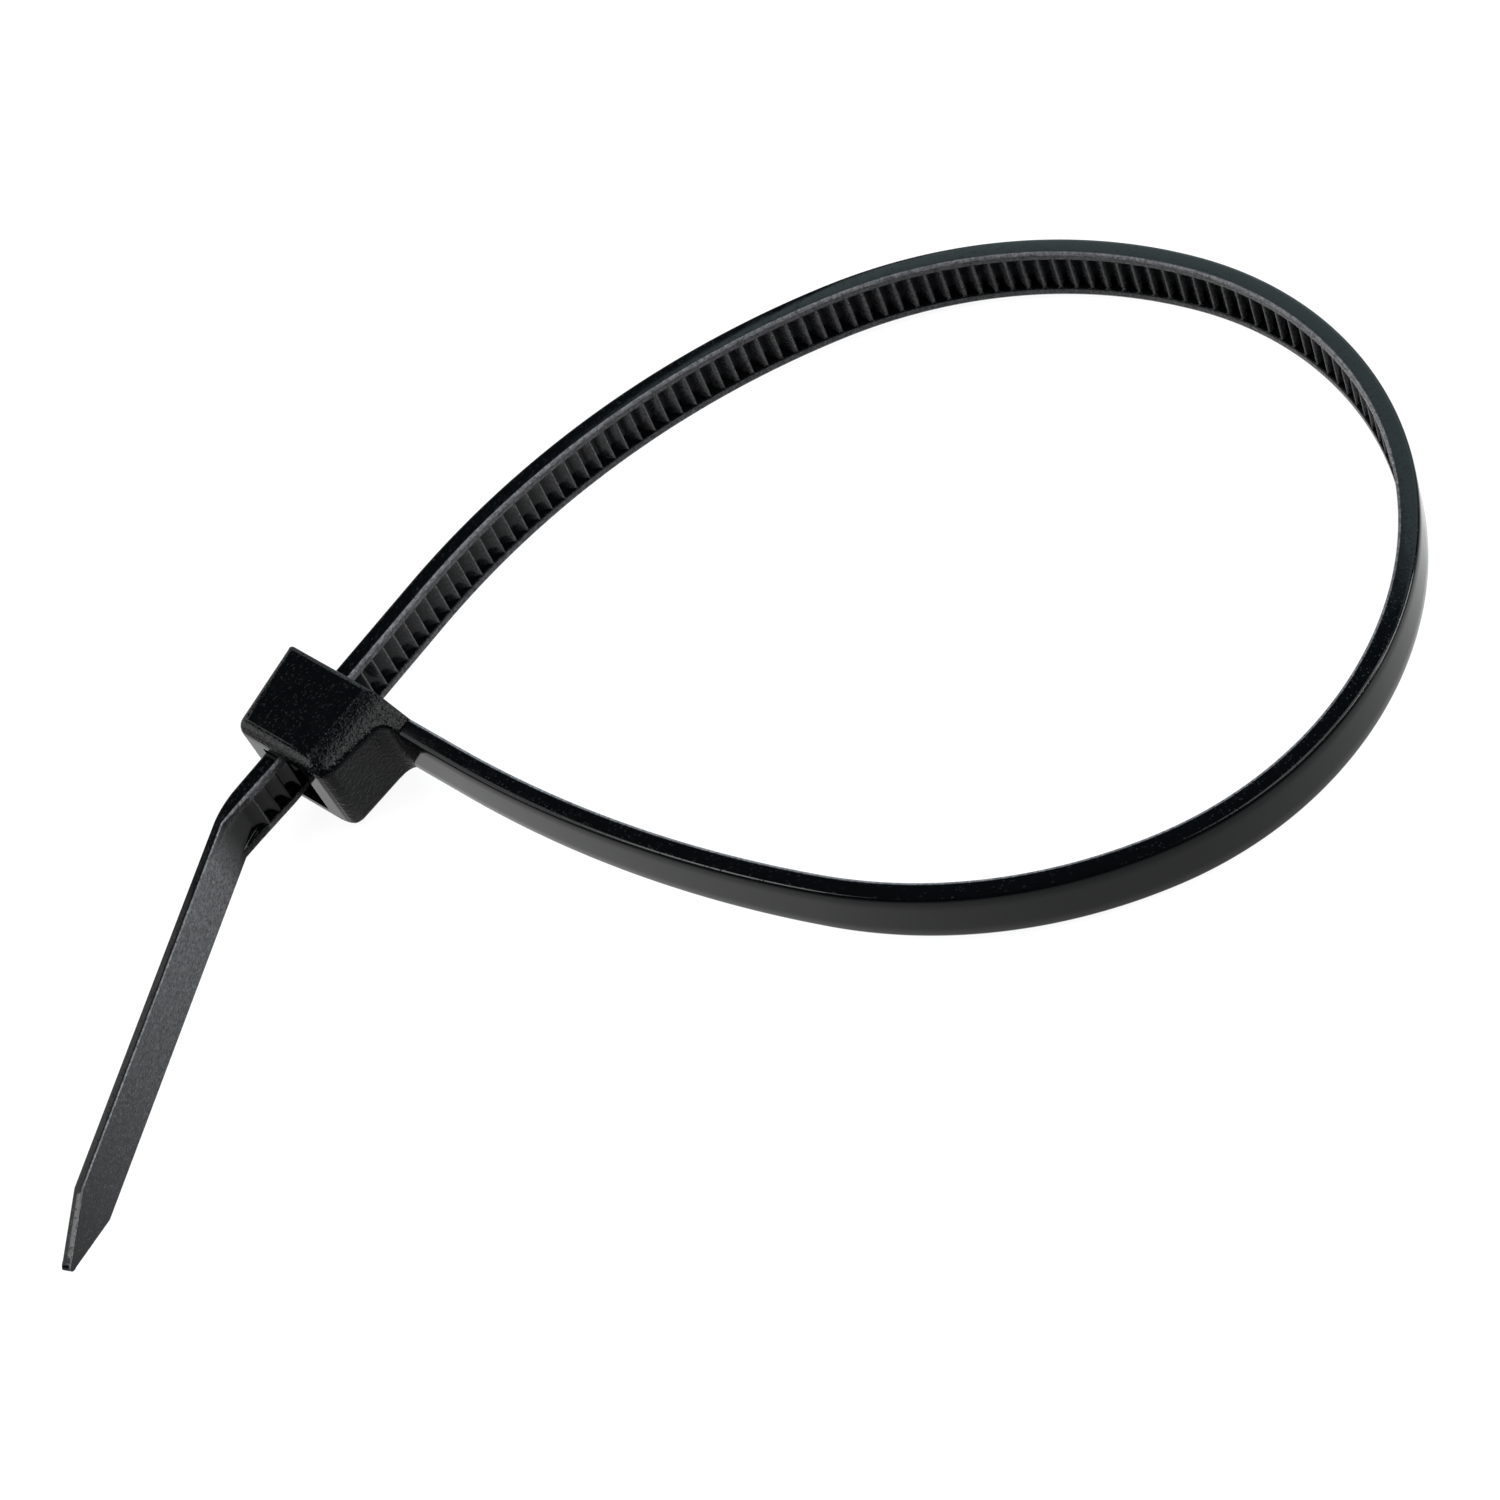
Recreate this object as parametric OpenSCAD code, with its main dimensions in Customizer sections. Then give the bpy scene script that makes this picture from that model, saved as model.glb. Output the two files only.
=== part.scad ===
// Cable tie, closed into a loop: one moulding with a head, a ribbed strap and a thin tail.
// Millimetres. The tie lies on its side on the plane z = 0. The origin is under the middle of the
// slot, across it and along it, and +X runs along the loop to its far end.

/* [Strap] */
// Width of the strap
strap_w = 3.6; // [3.2:0.1:4]
// Thickness of the strap over its rails
strap_t = 1.1; // [1:0.05:1.3]
// Width of each rail beside the teeth
rail_w = 0.56; // [0.4:0.02:0.8]
// Thickness of the strap under the teeth
floor_t = 0.56; // [0.4:0.02:0.7]

/* [Teeth] */
// Distance from one tooth to the next
tooth_pitch = 0.9; // [0.7:0.05:1.2]
// Depth of the tooth tips below the rails
tip_drop = 0.08; // [0.04:0.02:0.2]
// Smooth length of strap between the head and the first tooth
plain_run = 14; // [8:1:30]
// Teeth that stand out of the head on the tail side
teeth_out = 3; // [1:1:4]

/* [Loop] */
// Radius of the bend next to the fixed end
root_r = 68; // [60:1:76]
// Turn of the bend next to the fixed end, in degrees
root_turn = 18.6; // [16:0.2:21]
// Radius of the shoulder on the fixed side
fixed_shoulder_r = 26.8; // [25:0.2:28]
// Turn of the shoulder on the fixed side, in degrees
fixed_shoulder_turn = 38; // [36:1:40]
// Radius of the far end of the loop
nose_r = 19.3; // [18.5:0.1:20]
// Radius of the shoulder on the return side
return_shoulder_r = 25.8; // [24:0.2:27]
// Turn of the shoulder on the return side, in degrees
return_shoulder_turn = 45.8; // [44:0.2:48]
// Radius of the bend that leads back into the head
return_r = 45.2; // [43:0.2:48]
// Turn of the bend that leads back into the head, in degrees
return_turn = 35.2; // [34:0.2:37]

/* [Tail] */
// Thickness of the tail
tail_t = 0.52; // [0.45:0.01:0.7]
// Straight length of the tail, from its bend to its tip
tail_l = 25; // [15:0.1:40]
// Straight length of strap from the level of the fixed strap to the bend
exit_run = 7.5; // [7:0.1:10]
// Radius of the bend where the teeth end
kink_r = 5.2; // [4:0.1:8]
// Turn of that bend, in degrees
kink_turn = 22.3; // [15:0.1:28]
// Straight length of strap over which the rails start to fade into the tail
fade_l = 1.9; // [0.5:0.1:2.2]
// Length of the pointed end
point_l = 3.7; // [2:0.1:8]
// Width of the tip
tip_w = 0.7; // [0.4:0.1:1.5]

/* [Head] */
// Width of the head, which lies upright
head_w = 6; // [5.6:0.1:7.2]
// Height of the head over the strap's outer face
head_rise = 4.35; // [4.1:0.05:5]
// Wall between the slot and the head's outer end, at the exit
end_wall = 1.75; // [1.2:0.05:2.2]
// Wall between the pawl's room and the strap side of the head, at the exit
front_wall = 1.85; // [1.2:0.05:2.2]
// Lean of the head's outer end over its height
end_lean = 0.75; // [0:0.05:0.9]
// Lean of the head's strap side over its height
front_lean = 0.4; // [0:0.05:0.9]
// Length of the neck from the head's strap side to the plain strap
neck_l = 0.8; // [0.7:0.1:1.6]
// Radius of the hollow corner between the head's strap side and the strap
neck_blend = 0.7; // [0.2:0.05:0.8]
// Length over which the head narrows to the strap's width
taper_l = 2.1; // [1.4:0.1:3]
// Radius of the head's edges
edge_r = 0.5; // [0.2:0.05:0.6]
// Radius of the edges round the head's entry face
entry_edge_r = 0.2; // [0.1:0.05:0.5]

/* [Slot and pawl] */
// Clearance between the faces of the strap and the slot
strap_gap = 0.12; // [0.08:0.01:0.2]
// Clearance between the edges of the strap and the slot
side_gap = 0.2; // [0.15:0.01:0.3]
// Depth of the room behind the strap that the pawl bends into
pawl_room = 1.6; // [1.3:0.05:2.2]
// Thickness of the bridge that carries the pawl, past the strap's outer face
bridge_t = 0.45; // [0.3:0.05:0.6]
// Thickness of the pawl at its hinge
hinge_t = 0.45; // [0.3:0.05:0.6]
// Thickness of the pawl behind its teeth
pawl_t = 0.7; // [0.5:0.05:0.8]
// Teeth on the pawl
pawl_teeth = 2; // [1:1:2]
// Clearance between the edges of the pawl and the rails
pawl_side_gap = 0.15; // [0.1:0.01:0.3]
// Clearance between the pawl's teeth and the rack, square to the strap
pawl_gap = 0.22; // [0.16:0.01:0.3]

/* [Hidden] */
nylon = "#1c1d1f";
half_t = strap_t / 2;
channel_w = strap_w - 2 * rail_w;
// The strap passes its own fixed end at a right angle, so the loop turns three quarters of a circle.
loop_turn = 270;
loop_axis = (loop_turn - 180) / 2;
nose_turn = loop_turn - root_turn - fixed_shoulder_turn - return_shoulder_turn - return_turn;
loop_arcs = [
    [root_r, root_turn],
    [fixed_shoulder_r, fixed_shoulder_turn],
    [nose_r, nose_turn],
    [return_shoulder_r, return_shoulder_turn],
    [return_r, return_turn]
];
arc_step = 2;

// The middle line of the strap, seen from above with the fixed strap leaving the head along +x.
// The loop turns left and comes back down the line x = 0. A state is [x, y, heading].
function straight_end(s, l) = [s.x + l * cos(s.z), s.y + l * sin(s.z), s.z];
function arc_end(s, r, a) = [
    s.x + r * (sin(s.z + a) - sin(s.z)),
    s.y - r * (cos(s.z + a) - cos(s.z)),
    s.z + a
];
function chain(s, arcs, i = 0) =
    i == len(arcs) ? [s] : concat([s], chain(arc_end(s, arcs[i].x, arcs[i].y), arcs, i + 1));
function beside(s, side) = [s.x - side * sin(s.z), s.y + side * cos(s.z)];
function arc_length(r, a) = r * a * PI / 180;

// Whatever the arcs are, the straight runs on both sides of the head close the loop.
loop_reach = chain([0, 0, 0], loop_arcs)[len(loop_arcs)];
lead_end = -loop_reach.x;
return_run = loop_reach.y + exit_run;
loop_states = chain([lead_end, 0, 0], loop_arcs);
kink_start = [0, -exit_run, loop_turn];
tail_start = arc_end(kink_start, kink_r, kink_turn);
tail_end = straight_end(tail_start, tail_l);

// Every stretch of the path as [start state, length, radius], where a straight has radius 0.
stretches = concat(
    [[[0, 0, 0], lead_end, 0]],
    [for (i = [0:len(loop_arcs) - 1])
        [loop_states[i], arc_length(loop_arcs[i].x, loop_arcs[i].y), loop_arcs[i].x]],
    [[[0, loop_reach.y, loop_turn], return_run, 0]],
    [[kink_start, arc_length(kink_r, kink_turn), kink_r]],
    [[tail_start, tail_l, 0]]
);
function state_at(s, i = 0) =
    let (st = stretches[i][0], l = stretches[i][1], r = stretches[i][2])
    s > l && i < len(stretches) - 1 ? state_at(s - l, i + 1)
    : r == 0 ? straight_end(st, s) : arc_end(st, r, s / r * 180 / PI);
function length_to(n) = n == 0 ? 0 : stretches[n - 1][1] + length_to(n - 1);
kink_s = length_to(len(stretches) - 2);
tail_s = length_to(len(stretches) - 1);
// Distance along the strap at which it crosses its own fixed end.
slot_s = kink_s - exit_run;

// States along one stretch: its start, and for an arc the points that keep it round.
function stretch_states(q) =
    q[2] == 0 ? [q[0]]
    : let (a = q[1] / q[2] * 180 / PI, n = ceil(a / arc_step))
        [for (i = [0:n - 1]) arc_end(q[0], q[2], a * i / n)];
function reversed(v) = [for (i = [len(v) - 1:-1:0]) v[i]];

// The slot, from the head's entry face, level with the strap's inner face, to its exit face.
exit_y = -(half_t + head_rise);
entry_y = half_t;
slot_back = -half_t - strap_gap;
slot_front = half_t + strap_gap;
room_front = slot_front + pawl_room;
bridge_y = -(half_t + bridge_t);
slot_w = strap_w + 2 * side_gap;
slot_middle = (entry_y + exit_y) / 2;
// How far a cutting shape runs past the face it opens.
past = 1;

// The fixed strap starts inside the bridge, clear of the slot.
strap_root = [slot_front + pawl_room / 2, 0, 0];
strap_states = concat([strap_root], [for (i = [1:len(stretches) - 3]) each stretch_states(stretches[i])]);
kink_states = concat(stretch_states(stretches[len(stretches) - 2]), [tail_start, tail_end]);
tail_side = tail_t - half_t;

// Side view of the strap, seen from above: the outer face there, the inner face back.
strap_outline = concat(
    [for (s = concat(strap_states, kink_states)) beside(s, -half_t)],
    [beside(tail_end, tail_side), beside(tail_start, tail_side), beside(state_at(kink_s - fade_l), half_t)],
    [for (s = reversed(strap_states)) beside(s, half_t)]
);

// The rack. Each tooth has a ramp towards the tail and a steep face towards the loop.
steep_share = 0.15;
crest_share = 0.27;
root_side = floor_t - half_t;
crest_side = half_t - tip_drop;
first_tooth = ceil((plain_run - slot_s) / tooth_pitch);
last_tooth = ceil(-exit_y / tooth_pitch) + teeth_out - 1;
tooth = [[0, root_side], [steep_share, crest_side], [crest_share, crest_side]];
function tooth_s(k) = slot_s + k * tooth_pitch;
channel_end = tail_s - tooth_pitch;
// The channel that holds the teeth: what is cut out of the strap between its rails.
channel_outline = concat(
    [for (k = [first_tooth:last_tooth], q = tooth)
        beside(state_at(tooth_s(k + q.x)), q.y)],
    [for (k = [last_tooth + 1:floor((channel_end - slot_s) / tooth_pitch)])
        beside(state_at(tooth_s(k)), root_side)],
    [beside(state_at(channel_end), root_side), beside(tail_start, tail_side)],
    [for (k = [floor((tail_s - slot_s) / tooth_pitch):-1:first_tooth])
        beside(state_at(tooth_s(k)), strap_t)]
);

// Plan of the tail: full width, then the pointed end with a blunt tip.
tail_plan = let (w = strap_w / 2 + tip_drop, t = tip_w / 2, c = tip_w / 4) [
    [-tail_l, -w], [-point_l, -w], [-c, -t], [0, c - t], [0, t - c], [-c, t], [-point_l, w], [-tail_l, w]
];

// A polygon with its corners rounded to arcs. Each point is [x, y, radius].
round_steps = 5;
function unit(v) = v / norm(v);
function turn_at(a, b, c) =
    let (u = unit([b.x - a.x, b.y - a.y]), v = unit([c.x - b.x, c.y - b.y]))
    atan2(u.x * v.y - u.y * v.x, u.x * v.x + u.y * v.y);
function corner(a, b, c) =
    let (turn = turn_at(a, b, c), u = unit([b.x - a.x, b.y - a.y]), r = b.z * sign(turn))
    b.z == 0 || turn == 0 ? [[b.x, b.y]]
    : let (back = b.z * tan(abs(turn) / 2), h = atan2(u.y, u.x))
        [for (i = [0:round_steps]) let (q = arc_end([b.x - u.x * back, b.y - u.y * back, h], r, turn * i / round_steps))
            [q.x, q.y]];
function rounded(p) =
    let (n = len(p)) [for (i = [0:n - 1]) each corner(p[(i + n - 1) % n], p[i], p[(i + 1) % n])];

// The head's outline from above: its far end, its strap side and the neck round the fixed strap.
far_end_x = slot_back - end_wall;
near_end_x = room_front + front_wall;
neck_x = near_end_x + front_lean + neck_l;
taper_x = neck_x - taper_l;
head_side = rounded([
    [far_end_x - end_lean, entry_y, entry_edge_r],
    [far_end_x, exit_y, edge_r],
    [near_end_x, exit_y, edge_r],
    [near_end_x + front_lean, -half_t, neck_blend],
    [neck_x, -half_t, 0],
    [neck_x, entry_y, 0]
]);
// Seen along the strap's way through the slot, it narrows from the head's width to the strap's.
head_plan = let (w = head_w / 2, s = strap_w / 2) rounded([
    [far_end_x - end_lean, -w, edge_r], [taper_x, -w, edge_r], [neck_x, -s, 0],
    [neck_x, s, 0], [taper_x, w, edge_r], [far_end_x - end_lean, w, edge_r]
]);
// Seen along the fixed strap, it is a rounded rectangle.
head_end = let (w = head_w / 2) rounded([
    [entry_y, -w, entry_edge_r], [exit_y, -w, edge_r], [exit_y, w, edge_r], [entry_y, w, entry_edge_r]
]);

// The pawl's outline from above: a thin hinge at the bridge, teeth that seat in the rack, a free end.
pawl_w = channel_w - 2 * pawl_side_gap;
pawl_first = ceil(-bridge_y / tooth_pitch);
pawl_back = crest_side + pawl_gap + pawl_t;
pawl_lag = 0.05;
pawl_end_y = -(pawl_first + pawl_teeth + crest_share) * tooth_pitch;
pawl_outline = concat(
    [[pawl_back - hinge_t, bridge_y + bridge_t / 2], [pawl_back - hinge_t, bridge_y - hinge_t / 2]],
    [for (k = [pawl_first:pawl_first + pawl_teeth - 1], q = tooth)
        [q.y + pawl_gap, pawl_lag - (k + q.x) * tooth_pitch]],
    [[root_side + pawl_gap, pawl_lag - (pawl_first + pawl_teeth) * tooth_pitch],
     [crest_side + pawl_gap, pawl_end_y], [pawl_back, pawl_end_y], [pawl_back, bridge_y + bridge_t / 2]]
);

// The tie is drawn where the strap crosses its fixed end, and then laid down over the origin.
// At rest the head lies flat and the strap leans until the loop's far end touches the ground.
nose_start = loop_states[2];
nose_centre = [nose_start.x - nose_r * sin(nose_start.z), nose_start.y + nose_r * cos(nose_start.z)];
far_reach = nose_centre.x * cos(loop_axis) + (nose_centre.y - slot_middle) * sin(loop_axis)
    + nose_r + half_t;
strap_lean = asin(head_w / 2 / norm([far_reach, strap_w / 2])) - atan2(strap_w / 2, far_reach);

module lay_down(lean = 0) {
    translate([0, 0, head_w / 2]) rotate([0, lean, 0]) rotate([0, 0, -loop_axis])
        translate([0, -slot_middle, 0]) children();
}

module strap() {
    difference() {
        linear_extrude(strap_w, center = true) polygon(strap_outline);
        linear_extrude(channel_w, center = true) polygon(channel_outline);
        tail_sides();
    }
}

// What is cut away beside the point of the tail.
module tail_sides() {
    translate([tail_end.x, tail_end.y, 0]) rotate([0, 0, tail_end.z]) rotate([90, 0, 0])
        linear_extrude(2 * strap_t, center = true) difference() {
            translate([-point_l, -strap_w]) square([point_l + past, 2 * strap_w]);
            polygon(tail_plan);
        }
}

module head_block() {
    intersection() {
        linear_extrude(head_w, center = true) polygon(head_side);
        rotate([-90, 0, 0]) linear_extrude(2 * (past - exit_y), center = true) polygon(head_plan);
        rotate([90, 0, 90]) linear_extrude(2 * (neck_x + past), center = true) polygon(head_end);
    }
}

module slot() {
    translate([slot_back, exit_y - past, -slot_w / 2]) {
        cube([slot_front - slot_back, entry_y - exit_y + 2 * past, slot_w]);
        cube([room_front - slot_back, bridge_y - exit_y + past, slot_w]);
    }
}

module pawl() {
    linear_extrude(pawl_w, center = true) polygon(pawl_outline);
}

module head() {
    difference() {
        head_block();
        slot();
    }
    pawl();
}

module cable_tie() {
    color(nylon) {
        lay_down() head();
        lay_down(strap_lean) strap();
    }
}

cable_tie();
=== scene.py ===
"""Scene of a cable tie closed into a loop: the dressed model, its floor, lights and camera."""

import logging
import math
from collections.abc import Iterator
from dataclasses import dataclass
from enum import Enum

import bmesh
import bpy
from mathutils import Matrix, Vector


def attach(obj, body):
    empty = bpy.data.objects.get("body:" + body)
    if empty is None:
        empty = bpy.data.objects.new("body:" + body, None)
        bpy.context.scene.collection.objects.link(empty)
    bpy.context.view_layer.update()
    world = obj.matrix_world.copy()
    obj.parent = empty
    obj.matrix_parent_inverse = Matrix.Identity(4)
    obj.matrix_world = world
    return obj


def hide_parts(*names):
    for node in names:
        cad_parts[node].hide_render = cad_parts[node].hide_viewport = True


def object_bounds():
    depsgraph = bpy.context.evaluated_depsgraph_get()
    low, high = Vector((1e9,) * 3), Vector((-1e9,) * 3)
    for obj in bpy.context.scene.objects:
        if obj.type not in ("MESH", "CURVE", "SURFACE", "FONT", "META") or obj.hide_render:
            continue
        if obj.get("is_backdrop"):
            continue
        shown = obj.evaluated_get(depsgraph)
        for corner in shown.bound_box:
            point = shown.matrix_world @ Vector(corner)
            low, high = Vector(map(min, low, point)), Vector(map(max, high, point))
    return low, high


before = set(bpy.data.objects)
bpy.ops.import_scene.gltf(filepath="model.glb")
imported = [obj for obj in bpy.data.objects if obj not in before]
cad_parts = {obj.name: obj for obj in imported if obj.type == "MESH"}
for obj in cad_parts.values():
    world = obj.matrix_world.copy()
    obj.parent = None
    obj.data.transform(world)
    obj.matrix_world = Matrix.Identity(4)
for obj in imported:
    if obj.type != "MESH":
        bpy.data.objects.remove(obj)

MM = 0.001
BODY = "root"
NODE = "cable_tie"
LOOP_AXIS = 45.0
SLOT_HEADING = 270.0
SHARP_ANGLE = 50.0
TINY = 1e-6
log = logging.getLogger("cable_tie")

Point = tuple[float, float]
Ring = list[Point]
Colour = tuple[float, float, float, float]


def direction(azimuth: float, elevation: float) -> Vector:
    """The unit direction at an azimuth and an elevation, both in degrees."""
    turn, rise = math.radians(azimuth), math.radians(elevation)
    return Vector(
        (math.cos(turn) * math.cos(rise), math.sin(turn) * math.cos(rise), math.sin(rise))
    )


def mesh_object(name: str, mesh: bmesh.types.BMesh) -> bpy.types.Object:
    """Puts a finished mesh into the scene and frees it.

    Args:
        name: The name of the object and of its mesh.
        mesh: The mesh, which isn't used after this.

    Returns:
        The object.
    """
    data = bpy.data.meshes.new(name)
    mesh.to_mesh(data)
    mesh.free()
    obj = bpy.data.objects.new(name, data)
    bpy.context.scene.collection.objects.link(obj)
    return obj


def join_rings(
    mesh: bmesh.types.BMesh, low: list[bmesh.types.BMVert], high: list[bmesh.types.BMVert]
) -> None:
    """Joins two closed rings with as many points by a band of faces."""
    for i in range(len(low)):
        j = (i + 1) % len(low)
        mesh.faces.new((low[i], low[j], high[j], high[i]))


def add_prism(mesh: bmesh.types.BMesh, outline: Ring, half: float) -> None:
    """Adds a block with an outline seen from above, which reaches half up and half down."""
    low = [mesh.verts.new((x, y, -half)) for x, y in outline]
    high = [mesh.verts.new((x, y, half)) for x, y in outline]
    mesh.faces.new(low)
    mesh.faces.new(high)
    join_rings(mesh, low, high)


class Graph:
    """A node tree whose nodes are made and joined in one call each."""

    def __init__(self, tree: bpy.types.NodeTree) -> None:
        """Keeps the nodes and the links of a tree."""
        self.nodes, self.links = tree.nodes, tree.links

    def feed(self, socket: bpy.types.NodeSocket, value: object) -> None:
        """Joins an output to a socket, or sets the socket's own value."""
        if isinstance(value, bpy.types.NodeSocket):
            self.links.new(value, socket)
        else:
            socket.default_value = value

    def add(self, kind: str, inputs: dict[str | int, object]) -> bpy.types.Node:
        """Adds a node.

        Args:
            kind: The type of the node.
            inputs: For each socket, its value or the output that feeds it.

        Returns:
            The node.
        """
        node = self.nodes.new(kind)
        for name, value in inputs.items():
            self.feed(node.inputs[name], value)
        return node

    def attribute(self, name: str) -> bpy.types.NodeSocket:
        """The value of a mesh attribute."""
        node = self.add("ShaderNodeAttribute", {})
        node.attribute_name = name
        return node.outputs["Fac"]

    def combine(self, operation: str, *values: object) -> bpy.types.NodeSocket:
        """The result of one step of arithmetic on values or outputs."""
        node = self.add("ShaderNodeMath", dict(enumerate(values)))
        node.operation = operation
        return node.outputs["Value"]

    def scaled(
        self, value: object, given: Point, wanted: Point = (0.0, 1.0), smooth: bool = False
    ) -> bpy.types.NodeSocket:
        """A value taken from one range to another and held at both ends.

        Args:
            value: The output to take.
            given: The ends of the range it is in.
            wanted: The ends of the range it goes to.
            smooth: True for an eased step between the ends.

        Returns:
            The output with the result.
        """
        sockets = ("Value", "From Min", "From Max", "To Min", "To Max")
        node = self.add("ShaderNodeMapRange", dict(zip(sockets, (value, *given, *wanted))))
        node.interpolation_type = "SMOOTHSTEP" if smooth else "LINEAR"
        return node.outputs["Result"]


@dataclass(frozen=True)
class State:
    """A place on the strap's middle line, in millimetres, with the heading in radians."""

    x: float
    y: float
    heading: float

    def beside(self, side: float) -> Point:
        """The point that lies side millimetres to the left of the middle line."""
        return (self.x - side * math.sin(self.heading), self.y + side * math.cos(self.heading))


@dataclass(frozen=True)
class Stretch:
    """One straight or round stretch of the strap's middle line; radius 0 is straight."""

    start: State
    length: float
    radius: float = 0.0

    def at(self, along: float) -> State:
        """The state at a distance along this stretch.

        Args:
            along: Distance from the start of the stretch, in millimetres.

        Returns:
            The state there.
        """
        s = self.start
        if not self.radius:
            run, rise = along * math.cos(s.heading), along * math.sin(s.heading)
            return State(s.x + run, s.y + rise, s.heading)
        end = s.heading + along / self.radius
        return State(
            s.x + self.radius * (math.sin(end) - math.sin(s.heading)),
            s.y - self.radius * (math.cos(end) - math.cos(s.heading)),
            end,
        )


@dataclass(frozen=True)
class LoopPath:
    """The strap's middle line, from its fixed end round the loop, through the head, to the tip.

    A bend is its radius in millimetres and its turn in degrees.
    """

    root: Point = (68.0, 18.6)
    fixed_shoulder: Point = (26.8, 38.0)
    nose: Point = (19.3, 132.4)
    return_shoulder: Point = (25.8, 45.8)
    return_bend: Point = (45.2, 35.2)
    kink: Point = (5.2, 22.3)
    exit_run: float = 7.5
    tail_length: float = 25.0

    def bends(self) -> tuple[Point, ...]:
        """The loop's bends in order."""
        return (self.root, self.fixed_shoulder, self.nose, self.return_shoulder, self.return_bend)

    @staticmethod
    def round_stretch(start: State, bend: Point) -> Stretch:
        """The round stretch that a bend makes from a state."""
        radius, turn = bend
        return Stretch(start, radius * math.radians(turn), radius)

    def stretches(self) -> list[Stretch]:
        """Lays out every stretch, with straight runs at the head that close the loop.

        Returns:
            The stretches from the fixed end to the tip of the tail.
        """
        state = State(0.0, 0.0, 0.0)
        for bend in self.bends():
            piece = self.round_stretch(state, bend)
            state = piece.at(piece.length)
        lead, height = -state.x, state.y
        out = [Stretch(State(0.0, 0.0, 0.0), lead)]
        state = State(lead, 0.0, 0.0)
        for bend in self.bends():
            out.append(self.round_stretch(state, bend))
            state = out[-1].at(out[-1].length)
        down = math.radians(SLOT_HEADING)
        out.append(Stretch(State(0.0, height, down), height + self.exit_run))
        out.append(self.round_stretch(State(0.0, -self.exit_run, down), self.kink))
        out.append(Stretch(out[-1].at(out[-1].length), self.tail_length))
        return out


class Line:
    """The whole middle line, read by the distance from the fixed end."""

    def __init__(self, path: LoopPath) -> None:
        """Keeps the stretches of a path and where each one starts."""
        self.stretches = path.stretches()
        self.starts = [0.0]
        for stretch in self.stretches:
            self.starts.append(self.starts[-1] + stretch.length)
        self.length = self.starts[-1]
        self.kink_start, self.tail_start = self.starts[-3], self.starts[-2]
        self.slot = self.kink_start - path.exit_run
        self.nose_start = self.starts[3]

    def at(self, along: float) -> State:
        """The state at a distance from the fixed end, in millimetres."""
        for stretch, start in zip(reversed(self.stretches), reversed(self.starts[:-1])):
            if along >= start:
                return stretch.at(along - start)
        return self.stretches[0].at(along)


@dataclass(frozen=True)
class TieSizes:
    """Sizes of the moulding in millimetres, the same as in the model's source."""

    strap_width: float = 3.6
    strap_thick: float = 1.1
    rail_width: float = 0.56
    floor_thick: float = 0.56
    pitch: float = 0.9
    tip_drop: float = 0.08
    plain_run: float = 14.0
    teeth_out: int = 3
    tail_thick: float = 0.52
    fade: float = 1.9
    point: float = 3.7
    tip_width: float = 0.7
    head_width: float = 6.0
    head_rise: float = 4.35
    end_wall: float = 1.75
    front_wall: float = 1.85
    end_lean: float = 0.75
    front_lean: float = 0.4
    neck: float = 0.8
    neck_blend: float = 0.7
    taper: float = 2.1
    strap_gap: float = 0.12
    side_gap: float = 0.2
    pawl_room: float = 1.6
    bridge: float = 0.45
    hinge: float = 0.45
    pawl_thick: float = 0.7
    pawl_teeth: int = 2
    pawl_side_gap: float = 0.15
    pawl_gap: float = 0.22
    pawl_lag: float = 0.05
    crest_share: float = 0.27

    @property
    def half(self) -> float:
        """Half the thickness of the strap."""
        return self.strap_thick / 2

    @property
    def channel(self) -> float:
        """Half the width of the channel between the rails."""
        return self.strap_width / 2 - self.rail_width

    @property
    def root_side(self) -> float:
        """Height of the channel's floor over the middle line."""
        return self.floor_thick - self.half

    @property
    def crest_side(self) -> float:
        """Height of the tooth tips over the middle line."""
        return self.half - self.tip_drop

    @property
    def exit_y(self) -> float:
        """Level of the head's exit face."""
        return -(self.half + self.head_rise)

    @property
    def slot_middle(self) -> float:
        """Level of the middle of the slot."""
        return (self.half + self.exit_y) / 2

    @property
    def near_x(self) -> float:
        """Where the head's strap side stands at the exit."""
        return self.half + self.strap_gap + self.pawl_room + self.front_wall

    @property
    def neck_x(self) -> float:
        """Where the neck ends and the plain strap starts."""
        return self.near_x + self.front_lean + self.neck

    @property
    def taper_x(self) -> float:
        """Where the head starts to narrow."""
        return self.neck_x - self.taper

    def head_half(self, x: float) -> float:
        """Half the head's width at a place along the fixed strap."""
        wide, narrow = self.head_width / 2, self.strap_width / 2
        return wide - max(0.0, x - self.taper_x) * (wide - narrow) / self.taper


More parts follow.
